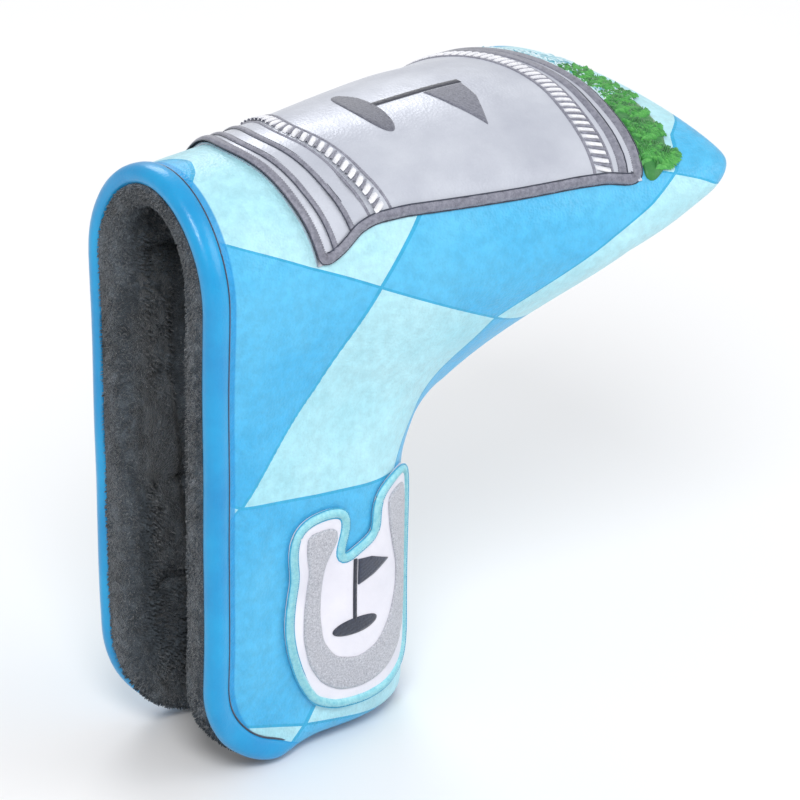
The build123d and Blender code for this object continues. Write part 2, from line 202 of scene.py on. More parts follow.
def body_grid(sections, columns, inset=0.0, front=0.0):
    """Near half of the body at a depth, section by section from the seam outwards, and the side-view
    place of each point unrolled over the crest and round the seam."""
    angle = np.linspace(0.0, math.pi, columns)
    points, places = [], []
    for s in sections:
        seam, outer, closed = section(s)
        if s < 1:
            seam = (seam[0], max(seam[1], BOTTOM_Z + front))
            outer = (outer[0], max(outer[1], BOTTOM_Z + front))
        dx, dz = outer[0] - seam[0], outer[1] - seam[1]
        reach = math.hypot(dx, dz)
        start = min(inset, reach / 2 - 0.4)
        end = max(reach - inset, reach / 2 + 0.4) if closed else reach - front
        first = start
        if s < 1:
            end -= float(corner_cut(outer[1], FRONT_CORNER_R - front, BOTTOM_Z + front))
            first += float(corner_cut(seam[1], REAR_CORNER_R, BOTTOM_Z + front))
        u = first + (end - first) * (1 - np.cos(angle)) / 2
        x, z = seam[0] + dx * u / reach, seam[1] + dz * u / reach
        w = width_at(x, z, u - start, inset)
        if first == start:
            w[0] = 0.0
        if closed:
            w[-1] = 0.0
        full = half_width(x, z)
        over = full * (1 - rounding(crest(x) - z, crest_radius(x)))
        under = full * (1 - rounding(u, seam_radius(x)))
        points.append(np.stack([x, -w, z], axis=1))
        wrap = 0.1 + 0.5 * min(abs(s - 1.5) * 2, 1.0)
        places.append(np.stack([x - wrap * under * dx / reach,
                                z + 0.8 * over - wrap * under * dz / reach], axis=1))
    return np.array(points), np.array(places)


def flank(x, z, lift=0.0):
    """Point of the near side of the shaft arm at a side-view place."""
    x, z = np.asarray(x, float), np.asarray(z, float)
    return np.stack([x, -width_at(x, z, spine(z) - x + lift, -lift), z], axis=-1)


def top_point(x, y, lift=0.0):
    """Point of the crown at a place seen from above."""
    x, y = np.asarray(x, float), np.asarray(y, float)
    z = crest(x)
    for _ in range(3):
        width = (half_width(x, z) + lift) * plan_nose(x)
        sine = np.clip(np.abs(y) / width, 0.0, 0.9999)
        radius = crest_radius(x) + lift
        z = crest(x) + lift - radius * (1 - np.sqrt(1 - sine ** 2))
    return np.stack([x, y, z], axis=-1)


# ---- meshes ----
def mesh_object(name, vertices, faces, material, smooth_faces=True):
    mesh = bpy.data.meshes.new(name)
    mesh.from_pydata([tuple(map(float, v)) for v in np.asarray(vertices) * MM], [], [tuple(f) for f in faces])
    mesh.validate()
    if smooth_faces:
        mesh.shade_smooth()
    mesh.materials.append(material)
    obj = bpy.data.objects.new(name, mesh)
    bpy.context.scene.collection.objects.link(obj)
    return obj


def grid_faces(rows, columns, closed_rows=False, closed_columns=False, first=0, flip=False):
    i = np.arange(rows if closed_rows else rows - 1)[:, None]
    j = np.arange(columns if closed_columns else columns - 1)[None, :]
    i2, j2 = (i + 1) % rows, (j + 1) % columns
    quad = np.stack([i * columns + j, i2 * columns + j, i2 * columns + j2, i * columns + j2], axis=-1)
    quad = quad.reshape(-1, 4) + first
    return quad[:, ::-1].tolist() if flip else quad.tolist()


def add_value(obj, name, values):
    layer = obj.data.attributes.new(name, "FLOAT", "POINT")
    layer.data.foreach_set("value", np.asarray(values, np.float32).ravel())


def unit(v):
    return v / (np.linalg.norm(v, axis=-1, keepdims=True) + 1e-9)


def along(path, closed):
    """Unit tangent at each point of a path."""
    if closed:
        return unit(np.roll(path, -1, axis=0) - np.roll(path, 1, axis=0))
    return unit(np.gradient(path, axis=0))


def resample(path, step, closed=False):
    """The path at even steps."""
    path = np.asarray(path, float)
    if closed:
        path = np.vstack([path, path[:1]])
    lengths = np.concatenate([[0.0], np.cumsum(np.linalg.norm(np.diff(path, axis=0), axis=1))])
    count = max(int(round(lengths[-1] / step)), 4)
    places = np.linspace(0.0, lengths[-1], count + 1)
    if closed:
        places = places[:-1]
    return np.stack([np.interp(places, lengths, path[:, k]) for k in range(path.shape[1])], axis=1)


def rounded(path, passes, closed):
    path = np.asarray(path, float).copy()
    for _ in range(passes):
        if closed:
            path = (np.roll(path, 1, axis=0) + 2 * path + np.roll(path, -1, axis=0)) / 4
        else:
            path[1:-1] = (path[:-2] + 2 * path[1:-1] + path[2:]) / 4
    return path


class Batch:
    """Several small shapes gathered into one mesh."""

    def __init__(self):
        self.vertices, self.faces, self.values, self.count = [], [], [], 0

    def add(self, vertices, faces, value=0.0):
        vertices = np.asarray(vertices, float).reshape(-1, 3)
        self.vertices.append(vertices)
        self.faces.extend([[i + self.count for i in f] for f in faces])
        self.values.append(np.full(len(vertices), value))
        self.count += len(vertices)

    def build(self, name, material, mirrored=False):
        vertices = np.concatenate(self.vertices)
        faces = self.faces
        if mirrored:
            vertices = vertices * np.array([1, -1, 1])
            faces = [f[::-1] for f in faces]
        obj = mesh_object(name, vertices, faces, material)
        add_value(obj, "tint", np.concatenate(self.values))
        return obj


def satin(batch, path, normals, width, height, closed=False, value=0.0, lean=0.25):
    """A row of satin stitches over a path: a raised band with a ridge for every thread."""
    path = np.asarray(path, float)
    tangent = along(path, closed)
    across = unit(np.cross(tangent, normals))
    c = np.linspace(-1.0, 1.0, 9)
    n = len(path)
    ridge = np.where(np.arange(n) % 2 == 0, 1.0, 0.66)[:, None]
    rise = height * np.sqrt(np.maximum(1 - c ** 2, 0.0))[None, :] * ridge
    wander = 0.07 * np.sin(np.arange(n) * 2.3) + 0.05 * np.sin(np.arange(n) * 0.37)
    ragged = 1 + wander[:, None] * (np.abs(c) > 0.9)[None, :]
    slide = (lean * width * c / 2)[None, :, None] * tangent[:, None, :]
    v = (path[:, None, :] + across[:, None, :] * (c[None, :] * ragged * width / 2)[..., None]
         + normals[:, None, :] * rise[..., None] + slide)
    batch.add(v, grid_faces(n, 9, closed_rows=closed), value)


def tube(batch, path, radius, closed=False, sides=6, value=0.0):
    path = np.asarray(path, float)
    tangent = along(path, closed)
    helper = np.where(np.abs(tangent[:, 2:3]) > 0.9, np.array([[1.0, 0.0, 0.0]]), np.array([[0.0, 0.0, 1.0]]))
    a = unit(np.cross(tangent, helper))
    b = np.cross(tangent, a)
    t = np.linspace(0, 2 * math.pi, sides, endpoint=False)
    cosine, sine = np.cos(t)[None, :, None], np.sin(t)[None, :, None]
    v = path[:, None, :] + radius * (cosine * a[:, None, :] + sine * b[:, None, :])
    n = len(path)
    faces = grid_faces(n, sides, closed_rows=closed, closed_columns=True)
    if not closed:
        faces += [list(range(sides))[::-1], list(range((n - 1) * sides, n * sides))]
    batch.add(v, faces, value)


def filled(outline, spacing):
    """Triangles inside a flat closed outline, with points spread inside it."""
    from mathutils.geometry import delaunay_2d_cdt
    outline = resample(outline, spacing, closed=True)
    low, high = outline.min(axis=0), outline.max(axis=0)
    inner = []
    row = 0
    y = low[1] + spacing * 0.6
    while y < high[1]:
        x = low[0] + spacing * (0.6 if row % 2 else 0.1)
        while x < high[0]:
            d = np.min(np.hypot(outline[:, 0] - x, outline[:, 1] - y))
            if d > spacing * 0.6 and inside(outline, x, y):
                inner.append((x, y))
            x += spacing
        y += spacing * 0.866
        row += 1
    points = [Vector(p) for p in outline.tolist()] + [Vector(p) for p in inner]
    n = len(outline)
    edges = [(i, (i + 1) % n) for i in range(n)]
    v, _, f, _, _, _ = delaunay_2d_cdt(points, edges, [], 1, 1e-5)
    return np.array([tuple(p) for p in v]), [list(t) for t in f], outline


def inside(outline, x, y):
    x1, y1 = outline[:, 0], outline[:, 1]
    x2, y2 = np.roll(x1, -1), np.roll(y1, -1)
    crossing = (y1 > y) != (y2 > y)
    at = x1 + (y - y1) * (x2 - x1) / np.where(y2 == y1, 1e-9, y2 - y1)
    return bool(np.count_nonzero(crossing & (at > x)) % 2)


def edge_distance(points, outline):
    """Distance of flat points from a closed outline."""
    a, b = outline, np.roll(outline, -1, axis=0)
    d = b - a
    t = ((points[:, None, :] - a[None]) * d[None]).sum(-1) / ((d ** 2).sum(-1)[None] + 1e-12)
    near = a[None] + np.clip(t, 0, 1)[..., None] * d[None]
    return np.linalg.norm(points[:, None, :] - near, axis=-1).min(axis=1)


def patch(batch, outline, surface, spacing, foot, top, relief=None, value=0.0):
    """A flat cut piece laid on a surface: its top with a rounded rim, and its side down to the foot."""
    v, f, edge = filled(outline, spacing)
    depth = edge_distance(v, edge)
    lift = foot + (top - foot) * (0.55 + 0.45 * rounding(depth, 1.2))
    if relief is not None:
        lift = lift + relief(v, depth)
    upper = surface(v[:, 0], v[:, 1], lift)
    n = len(edge)
    lower = surface(edge[:, 0], edge[:, 1], np.full(n, foot))
    m = len(v)
    area = 0.5 * np.sum(edge[:, 0] * np.roll(edge[:, 1], -1) - np.roll(edge[:, 0], -1) * edge[:, 1])
    skirt = [[i, (i + 1) % n, m + (i + 1) % n, m + i] for i in range(n)]
    if area > 0:
        skirt = [q[::-1] for q in skirt]
    batch.add(np.vstack([upper, lower]), f + skirt, value)


# ---- materials ----
def new_material(name):
    material = bpy.data.materials.new(name)
    material.use_nodes = True
    tree = material.node_tree
    shader = tree.nodes["Principled BSDF"]
    return material, tree, shader


def node(tree, kind, **settings):
    n = tree.nodes.new(kind)
    for key, value in settings.items():
        if key in n.inputs:
            n.inputs[key].default_value = value
        else:
            setattr(n, key, value)
    return n


def texture(tree, kind, **settings):
    where = node(tree, "ShaderNodeTexCoord")
    n = node(tree, kind, **settings)
    tree.links.new(where.outputs["Object"], n.inputs["Vector"])
    return n


def noise(tree, scale, detail=4.0, roughness=0.55):
    return texture(tree, "ShaderNodeTexNoise", Scale=scale, Detail=detail, Roughness=roughness).outputs["Fac"]


def cells(tree, scale):
    return texture(tree, "ShaderNodeTexVoronoi", Scale=scale).outputs["Distance"]


def ramp(tree, source, stops):
    n = node(tree, "ShaderNodeValToRGB")
    while len(n.color_ramp.elements) < len(stops):
        n.color_ramp.elements.new(0.5)
    for element, (place, colour) in zip(n.color_ramp.elements, stops):
        element.position = place
        element.color = (*colour, 1.0) if len(colour) == 3 else colour
    tree.links.new(source, n.inputs["Fac"])
    return n.outputs["Color"]


def calc(tree, operation, a, b=None):
    n = node(tree, "ShaderNodeMath", operation=operation)
    for k, v in enumerate((a, b)):
        if v is None:
            continue
        if isinstance(v, (int, float)):
            n.inputs[k].default_value = v
        else:
            tree.links.new(v, n.inputs[k])
    return n.outputs[0]


def two_tone(tree, source, dark, pale):
    return ramp(tree, source, ((0.3, linear(dark)), (0.7, linear(pale))))


def near_line(tree, index, width):
    """1 where a count of printed lines is next to a whole number."""
    part = calc(tree, "FRACT", calc(tree, "ADD", index, 0.5))
    return calc(tree, "LESS_THAN", calc(tree, "ABSOLUTE", calc(tree, "SUBTRACT", part, 0.5)), width)


def mixed(tree, factor, a, b, blend_type="MIX"):
    n = node(tree, "ShaderNodeMix", data_type="RGBA", blend_type=blend_type)
    sockets = [s for s in n.inputs if s.enabled]
    for socket, v in zip(sockets, (factor, a, b)):
        if isinstance(v, (int, float)):
            socket.default_value = v
        elif isinstance(v, tuple):
            socket.default_value = (*v, 1.0)
        else:
            tree.links.new(v, socket)
    return [s for s in n.outputs if s.enabled][0]


def value_of(tree, name):
    return node(tree, "ShaderNodeAttribute", attribute_name=name).outputs["Fac"]


def bump(tree, shader, height, strength, distance=0.0004):
    n = node(tree, "ShaderNodeBump")
    n.inputs["Strength"].default_value = strength
    n.inputs["Distance"].default_value = distance
    tree.links.new(height, n.inputs["Height"])
    tree.links.new(n.outputs["Normal"], shader.inputs["Normal"])


def linear(colour):
    """Linear colour from an sRGB hex."""
    out = []
    for k in (0, 2, 4):
        c = int(colour[k:k + 2], 16) / 255
        out.append(c / 12.92 if c <= 0.04045 else ((c + 0.055) / 1.055) ** 2.4)
    return tuple(out)


def leather_bump(tree, shader, grain, creases, strength):
    fine = cells(tree, grain)
    fold = noise(tree, creases, 5.0, 0.6)
    bump(tree, shader, calc(tree, "ADD", calc(tree, "MULTIPLY", fine, 0.5), fold), strength, 0.0005)


def printed_leather():
    material, tree, shader = new_material("leather_print")
    a, b = value_of(tree, "line_a"), value_of(tree, "line_b")
    parity = calc(tree, "MODULO", calc(tree, "ADD", calc(tree, "FLOOR", a), calc(tree, "FLOOR", b)), 2.0)
    parity = calc(tree, "GREATER_THAN", parity, 0.5)
    line = calc(tree, "MAXIMUM", near_line(tree, a, 0.0065), near_line(tree, b, 0.0085))
    cloud = noise(tree, 24.0, 5.0, 0.6)
    mottle = noise(tree, 420.0, 4.0, 0.6)
    light = two_tone(tree, cloud, "9BD6E4", "B8E4ED")
    mid = two_tone(tree, cloud, "34A9DE", "5BBCE6")
    colour = mixed(tree, parity, light, mid)
    colour = mixed(tree, line, colour, linear("2FA6D2"))
    # painted shade: hem masks a deeper blue band about 7 mm wide along the mouth's edge and the front of the bottom
    # edge, standing in for the shade where the leather turns in under the binding
    hem = ramp(tree, value_of(tree, "edge"), ((0.0, (1, 1, 1)), (0.66, (1, 1, 1)), (0.70, (0, 0, 0))))
    colour = mixed(tree, calc(tree, "MULTIPLY", hem, 0.9), colour, linear("0E93D2"))
    worn = ramp(tree, mottle, ((0.35, (0.90, 0.90, 0.90)), (0.65, (1.05, 1.05, 1.05))))
    colour = mixed(tree, 1.0, colour, worn, "MULTIPLY")
    tree.links.new(colour, shader.inputs["Base Color"])
    rough = ramp(tree, mottle, ((0.3, (0.30,) * 3), (0.7, (0.44,) * 3)))
    tree.links.new(rough, shader.inputs["Roughness"])
    leather_bump(tree, shader, 1500.0, 160.0, 0.45)
    return material


def plain_leather(name, dark, pale, roughness, strength=0.25, coat=0.0, metallic=0.0):
    material, tree, shader = new_material(name)
    colour = two_tone(tree, noise(tree, 60.0, 5.0), dark, pale)
    tree.links.new(colour, shader.inputs["Base Color"])
    smoother, rougher = (roughness - 0.06,) * 3, (roughness + 0.06,) * 3
    rough = ramp(tree, noise(tree, 300.0, 3.0), ((0.3, smoother), (0.7, rougher)))
    tree.links.new(rough, shader.inputs["Roughness"])
    shader.inputs["Coat Weight"].default_value = coat
    shader.inputs["Metallic"].default_value = metallic
    leather_bump(tree, shader, 1400.0, 120.0, strength)
    return material


def thread(name, dark, pale, other=None, scale=900.0):
    """Shiny embroidery thread; pieces may mix towards another colour by their tint."""
    material, tree, shader = new_material(name)
    grain = noise(tree, scale, 3.0, 0.7)
    colour = two_tone(tree, grain, dark, pale)
    if other is not None:
        colour = mixed(tree, value_of(tree, "tint"), colour, linear(other))
    tree.links.new(colour, shader.inputs["Base Color"])
    tree.links.new(ramp(tree, grain, ((0.2, (0.35,) * 3), (0.8, (0.6,) * 3))), shader.inputs["Roughness"])
    shader.inputs["Sheen Weight"].default_value = 0.25
    bump(tree, shader, noise(tree, scale * 2.2, 2.0), 0.5, 0.0002)
    return material


def plush_material():
    material, tree, shader = new_material("plush")
    clump = noise(tree, 330.0, 4.0, 0.7)
    patchy = noise(tree, 45.0, 3.0, 0.6)
    colour = ramp(tree, clump, ((0.25, linear("262D33")), (0.5, linear("424B53")), (0.8, linear("6A757E"))))
    colour = mixed(tree, 1.0, colour, ramp(tree, patchy, ((0.3, (0.75,) * 3), (0.7, (1.2,) * 3))), "MULTIPLY")
    tree.links.new(colour, shader.inputs["Base Color"])
    shader.inputs["Roughness"].default_value = 0.9
    shader.inputs["Sheen Weight"].default_value = 0.5
    shader.inputs["Sheen Roughness"].default_value = 0.4
    bump(tree, shader, noise(tree, 1500.0, 3.0, 0.7), 0.9, 0.0012)
    return material


def simple(name, dark, pale, roughness, scale, metallic=0.0):
    material, tree, shader = new_material(name)
    grain = noise(tree, scale, 4.0)
    tree.links.new(two_tone(tree, grain, dark, pale), shader.inputs["Base Color"])
    shader.inputs["Roughness"].default_value = roughness
    shader.inputs["Metallic"].default_value = metallic
    bump(tree, shader, grain, 0.3)
    return material


LEATHER = printed_leather()
PLUSH = plush_material()
BINDING = plain_leather("binding", "0089C6", "06A0D8", 0.34, 0.14, 0.15)
SILVER = plain_leather("silver_leather", "B9BDC9", "CDD1DB", 0.34, 0.16, 0.1, 0.25)
PALE = plain_leather("pale_leather", "D9D8E2", "EAE8F0", 0.42, 0.16)
GREY = thread("grey_thread", "6B6C7A", "9798A6", "3A3F4F")
WHITE = thread("white_thread", "D6D7DE", "F5F5F8", "6A6C78")
DARK = thread("dark_thread", "232839", "3B4256", "11141E")
ICE = thread("ice_thread", "B4DEE8", "F4FAFC", "3F9FB4")
GREEN = thread("green_thread", "2E8F3B", "66BF58", "1B6B2C")
SKY = thread("sky_thread", "7CCBDD", "A9E4EC", "2C9BC8")
SHOE = thread("silver_thread", "8C8E99", "D2D3DA", "6E707C", 2600.0)
MAGNET = simple("magnet", "8F9296", "B9BCC0", 0.3, 500.0, 1.0)


# ---- the printed argyle: two families of lines, as places in side view ----
PATTERN_A = (
    ((-20.0, 96.0), (80.0, 44.0), (121.8, 20.4), (133.5, 13.4), (160.0, -3.0)),
    ((-20.0, 38.5), (4.5, 27.6), (26.2, 15.0), (43.4, 6.4), (76.0, -9.7), (110.0, -27.0), (150.0, -47.0)),
    ((-20.0, -31.0), (1.9, -39.2), (8.5, -43.1), (30.0, -46.0), (68.0, -49.5), (150.0, -75.0)),
    ((-20.0, -96.0), (4.1, -99.7), (27.8, -106.6), (65.5, -113.6), (90.0, -118.0)),
)
PATTERN_B = (
    ((-60.0, -70.0), (10.0, -24.0), (30.0, -9.0), (44.8, 4.3), (50.7, 8.8), (55.1, 10.8), (70.0, 12.0)),
    ((-113.0, -62.0), (-53.0, -5.0), (-48.0, 1.8), (-43.1, 8.5), (-18.0, 28.8), (6.4, 43.4), (20.5, 53.0),
     (60.0, 78.0)),
    ((-118.0, 18.5), (-106.6, 27.8), (-75.0, 45.0), (-45.0, 60.0), (-25.0, 68.0), (-9.7, 76.0), (7.3, 102.1),
     (13.7, 112.8), (21.4, 122.1), (33.0, 127.3), (41.0, 137.0), (60.0, 160.0)),
)


def line_index(across, along_line, lines, descending):
    """Continuous count of a family of lines: whole numbers lie on the lines."""
    levels = np.array([np.interp(along_line, [p[0] for p in line], [p[1] for p in line]) for line in lines])
    index = np.zeros_like(across)
    sign = -1.0 if descending else 1.0
    for k in range(len(lines) - 1):
        span = sign * (levels[k + 1] - levels[k])
        part = sign * (across - levels[k]) / np.maximum(span, 1e-3)
        index = np.where(part >= 0, k + part, index)
        if k == 0:
            index = np.where(part < 0, part, index)
    return index + 4.0


def argyle(places):
    x, z = places[..., 0], places[..., 1]
    return line_index(z, x, PATTERN_A, True), line_index(x, z, PATTERN_B, False)


def bend(obj):
    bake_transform(obj)


def flap_piece(obj, side, slot, *layers):
    """A flap's piece, its transform baked into its mesh, hiding the CAD layers it replaces. The near one stands in
    for the crown's layers too.
    """
    bend(obj)
    parts = ("crown", "near_flap") if side == "near" else ("far_flap",)
    if layers:
        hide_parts(*[f"{part}_{layer}" for layer in layers for part in parts])


def mirrored_faces(faces):
    return [f[::-1] for f in faces]


def side_object(name, side, vertices, faces, material):
    vertices = np.asarray(vertices).reshape(-1, 3)
    if side == "far":
        vertices = vertices * np.array([1, -1, 1])
        faces = mirrored_faces(faces)
    return mesh_object(name, vertices, faces, material)


# ---- leather ----
flap_rise = 1 - np.cos(np.linspace(0, math.pi / 2, 80))
flap_sections = np.concatenate([0.0008 + 0.9992 * 0.45 * flap_rise, np.linspace(0.45, 1.0, 40)[1:-1]])
sections = np.concatenate([flap_sections, np.linspace(1.0, 2.0, 111)[:-1], 2 + np.linspace(0.0, 1.0, 120)])
COLUMNS = 96
points, places = body_grid(sections, COLUMNS)
line_a, line_b = argyle(places)
# edge: distance from the mouth's edge and, at the front, from the bottom edge, scaled so that 1 is 10 mm or more
# in; it drives the painted shade band along those edges
lower = np.clip(points[..., 2] - BOTTOM_Z, 0, None)
front = corner_cut(points[..., 2], FRONT_CORNER_R, BOTTOM_Z)
below = lower + 14 * smooth((points[..., 0] - 16) / 14)
edge = np.clip(np.minimum(points[..., 0] - front, below) / 10.0, 0, 1)
skin_faces = grid_faces(len(sections), COLUMNS)
nose_fan = [[(len(sections) - 1) * COLUMNS + j for j in range(COLUMNS)]]
for side in ("near", "far"):
    skin = side_object(f"{side}_leather", side, points, skin_faces + nose_fan, LEATHER)
    add_value(skin, "line_a", line_a)
    add_value(skin, "line_b", line_b)
    add_value(skin, "edge", edge)
    flap_piece(skin, side, "leather_print", "shell", "foam")


# ---- the edge of the mouth ----
def mouth_path(step):
    """Side-view places along the near half of the mouth's edge from the crest down to the spine, with
    the way inwards and the angle over the crest (90 degrees where the side hangs straight)."""
    top = float(crest(0.0))
    low = BOTTOM_Z
    rows = []
    for t in np.linspace(0.0, math.pi / 2, 46):
        rows.append((0.0, top - CREST_ROUND * (1 - math.cos(t)), 1.0, 0.0, t))
    for z in np.arange(top - CREST_ROUND - step, low + FRONT_CORNER_R, -step):
        rows.append((0.0, z, 1.0, 0.0, math.pi / 2))
    for t in np.linspace(math.pi, 1.5 * math.pi, 26):
        rows.append((FRONT_CORNER_R + FRONT_CORNER_R * math.cos(t),
                     low + FRONT_CORNER_R + FRONT_CORNER_R * math.sin(t),
                     -math.cos(t), -math.sin(t), math.pi / 2))
    rear = float(spine(low)) - REAR_CORNER_R
    for x in np.arange(FRONT_CORNER_R + step, rear, step):
        rows.append((x, low, 0.0, 1.0, math.pi / 2))
    for t in np.linspace(1.5 * math.pi, 1.97 * math.pi, 12):
        rows.append((rear + REAR_CORNER_R * math.cos(t), low + REAR_CORNER_R + REAR_CORNER_R * math.sin(t),
                     -math.cos(t), -math.sin(t), math.pi / 2))
    return np.array(rows)


def edge_point(row, inward, depth):
    """Point of the near half next to the mouth's edge: so far in from the edge, at a depth."""
    x, z, nx, nz, t = row
    px, pz = x + nx * inward, z + nz * inward
    if t < math.pi / 2:
        pz = float(crest(px)) - depth - (CREST_ROUND - depth) * (1 - math.cos(t))
        width = (float(half_width(px, pz)) - depth) * math.sin(t)
        return px, -width, pz
    seam = max(float(spine(pz)) - px - max(depth, 0.0), 0.0) if pz < CORNER_Z else 60.0
    held = max(pz, BOTTOM_Z)
    width = float(width_at(max(px, 0.0), held, seam, depth))
    return px, -max(width, 0.0), pz


def edge_sweep(rows, profile, tucked=True):
    """A profile of (way in, depth) carried along the mouth's edge. Along the bottom of the flaps the
    tape narrows and draws in under the leather."""
    grid = []
    for row in rows:
        away = float(smooth((row[0] - 16.0) / 16.0)) if tucked and row[1] < BOTTOM_Z + 12.0 else 0.0
        grid.append([edge_point(row, inward * (1 - 0.7 * away), depth + 1.3 * away * (depth < 1.0))
                     for inward, depth in profile])
    return np.array(grid)


BINDING_PROFILE = ((4.6, 0.25), (4.5, -0.35), (4.1, -0.75), (3.2, -1.0), (2.0, -1.1), (0.8, -1.0),
                   (-0.1, -0.7), (-0.8, -0.1), (-1.2, 0.8), (-1.3, 1.8), (-1.0, 2.7), (-0.3, 3.3), (0.8, 3.6))
LINING_PROFILE = ((1.4, 3.0), (0.3, 3.1), (-0.5, 3.7), (-0.9, 4.7), (-0.8, 6.0), (-0.2, 7.2), (1.0, 8.1),
                  (2.6, 8.4), (4.6, 7.9))
rows = mouth_path(1.2)
binding_grid = edge_sweep(rows, BINDING_PROFILE)
lip_grid = edge_sweep(rows, LINING_PROFILE)
stitch_path = edge_sweep(rows, ((4.75, -0.12),))[:, 0]
for side in ("near", "far"):
    tape_faces = grid_faces(len(rows), len(BINDING_PROFILE))
    tape = side_object(f"{side}_binding", side, binding_grid, tape_faces, BINDING)
    flap_piece(tape, side, "binding", "binding")
    seam_batch = Batch()
    tube(seam_batch, stitch_path[:-6], 0.27)
    seam_line = seam_batch.build(f"{side}_binding_seam", DARK, mirrored=side == "far")
    flap_piece(seam_line, side, "dark_thread")


# ---- plush lining ----
def mouth_swell(x, z):
    """How far the plush stands in next to the mouth's edge."""
    return 3.0 * np.exp(-((x - 3.0) / 7.0) ** 2) * smooth((CREST_Z - z) / 30.0)


def ruffle(points):
    """The plush gives: slow folds and creases that lie across and along the flaps."""
    x, y, z = points[..., 0], points[..., 1], points[..., 2]
    folds = 0.9 * np.sin(z / 6.2 + 1.6 * np.sin(x / 9.0)) * np.sin(x / 7.0 + z / 31.0 + 0.6)
    creases = 0.0
    for level in (6.0, -26.0, -54.0, -79.0):
        creases = creases - 2.2 * np.exp(-((z - level - 2.5 * np.sin(x / 8.0)) / 1.5) ** 2) \
            + 1.0 * np.exp(-((z - level - 4.5 - 2.5 * np.sin(x / 8.0)) / 3.0) ** 2)
    upright = -2.4 * np.exp(-((x - 20.0 - 1.5 * np.sin(z / 15.0)) / 1.7) ** 2) * smooth((-z) / 10.0)
    return folds + creases + upright


rim_columns = 70
POCKET_END = 2.86          # the pocket stops short of the toe
pocket_sections = sections[sections < POCKET_END][::2]
lining_points, _ = body_grid(pocket_sections, rim_columns, inset=7.7, front=4.4)
give = ruffle(lining_points) * np.clip((lining_points[..., 0] - 5.0) / 6.0, 0, 1)
give = give * np.clip(-lining_points[..., 1] / 4.0, 0, 1)
lining_points[..., 1] += give * 0.9 + mouth_swell(lining_points[..., 0], lining_points[..., 2]) \
    * np.clip(-lining_points[..., 1] / 8.0, 0, 1)
rng = np.random.default_rng(7)


def tufts(batch, base, normal, count, length, width, spread):
    """Short strands of pile leaning with the nap."""
    for k in range(count):
        p, n = base[k], normal[k]
        swirl = 1.2 * math.sin(p[0] / 9.0 + p[2] / 14.0) + 0.5 * math.sin(p[2] / 5.0)
        nap = np.array([math.sin(swirl) * 0.6, 0.0, -math.cos(swirl)])
        lean = unit(n * 0.75 + nap * (0.8 + 0.4 * rng.random()) + rng.normal(0, spread, 3))
        side = unit(np.cross(lean, n + 1e-3))
        reach = length * (0.7 + 0.6 * rng.random())
        a, b = p - n * 0.2 + side * width, p - n * 0.2 - side * width
        c = p + lean * reach * 0.5 + n * 0.35 * reach + side * width * 0.6
        d = p + lean * reach * 0.5 + n * 0.30 * reach - side * width * 0.6
        tip = p + lean * reach
        batch.add([a, b, d, c, tip], [[0, 1, 2, 3], [3, 2, 4]], float(rng.random()))


def grid_normals(grid):
    du = np.gradient(grid, axis=0)
    dv = np.gradient(grid, axis=1)
    return unit(np.cross(du, dv))


def between(grid, i, j, i2, j2, s, t):
    """Point of a grid's cell at the shares S and T of the way across it."""
    return grid[i, j] * (1 - s) * (1 - t) + grid[i2, j] * s * (1 - t) \
        + grid[i, j2] * (1 - s) * t + grid[i2, j2] * s * t


deep = np.clip((np.array([d for _, d in LINING_PROFILE]) - 3.7) / 3.0, 0, 1)[None, :]
lip_swell = deep * mouth_swell(lip_grid[..., 0], lip_grid[..., 2])
lip_grid[..., 1] += lip_swell * np.clip(-lip_grid[..., 1] / 8.0, 0, 1)
lip_normals = grid_normals(lip_grid)
wall_normals = grid_normals(lining_points)
for side in ("near", "far"):
    m = lining_points.shape[0] * lining_points.shape[1]
    faces = mirrored_faces(grid_faces(lining_points.shape[0], rim_columns))
    faces += mirrored_faces(grid_faces(len(rows), len(LINING_PROFILE), first=m))
    vertices = np.vstack([lining_points.reshape(-1, 3), lip_grid.reshape(-1, 3)])
    lining = side_object(f"{side}_lining", side, vertices, faces, PLUSH)
    flap_piece(lining, side, "plush", "lining")
    pile = Batch()
    visible = np.argwhere((lining_points[..., 0] < 62.0) & (lining_points[..., 1] < -2.0))
    count = 14000
    picks = visible[rng.integers(0, len(visible), count)]
    spread_cell = rng.random((count, 2))
    base, out = [], []
    for (i, j), (s, t) in zip(picks, spread_cell):
        i2, j2 = min(i + 1, lining_points.shape[0] - 1), min(j + 1, rim_columns - 1)
        n = wall_normals[i, j]
        base.append(between(lining_points, i, j, i2, j2, s, t))
        out.append(n if n[1] > 0 else -n)
    tufts(pile, base, out, count, 1.05, 0.30, 0.14)
    count = 8000
    base, out = [], []
    for _ in range(count):
        i, j = rng.integers(0, len(rows) - 1), rng.integers(2, len(LINING_PROFILE) - 1)
        s, t = rng.random(2)
        n = lip_normals[i, j]
        base.append(between(lip_grid, i, j, i + 1, j + 1, s, t))
        mouthward = np.array([-rows[i][2], 0.4, -rows[i][3]])
        out.append(n if n @ mouthward > 0 else -n)
    tufts(pile, base, out, count, 0.8, 0.26, 0.12)
    tuft_mesh = pile.build(f"{side}_lining_pile", PLUSH, mirrored=side == "far")
    flap_piece(tuft_mesh, side, "plush")


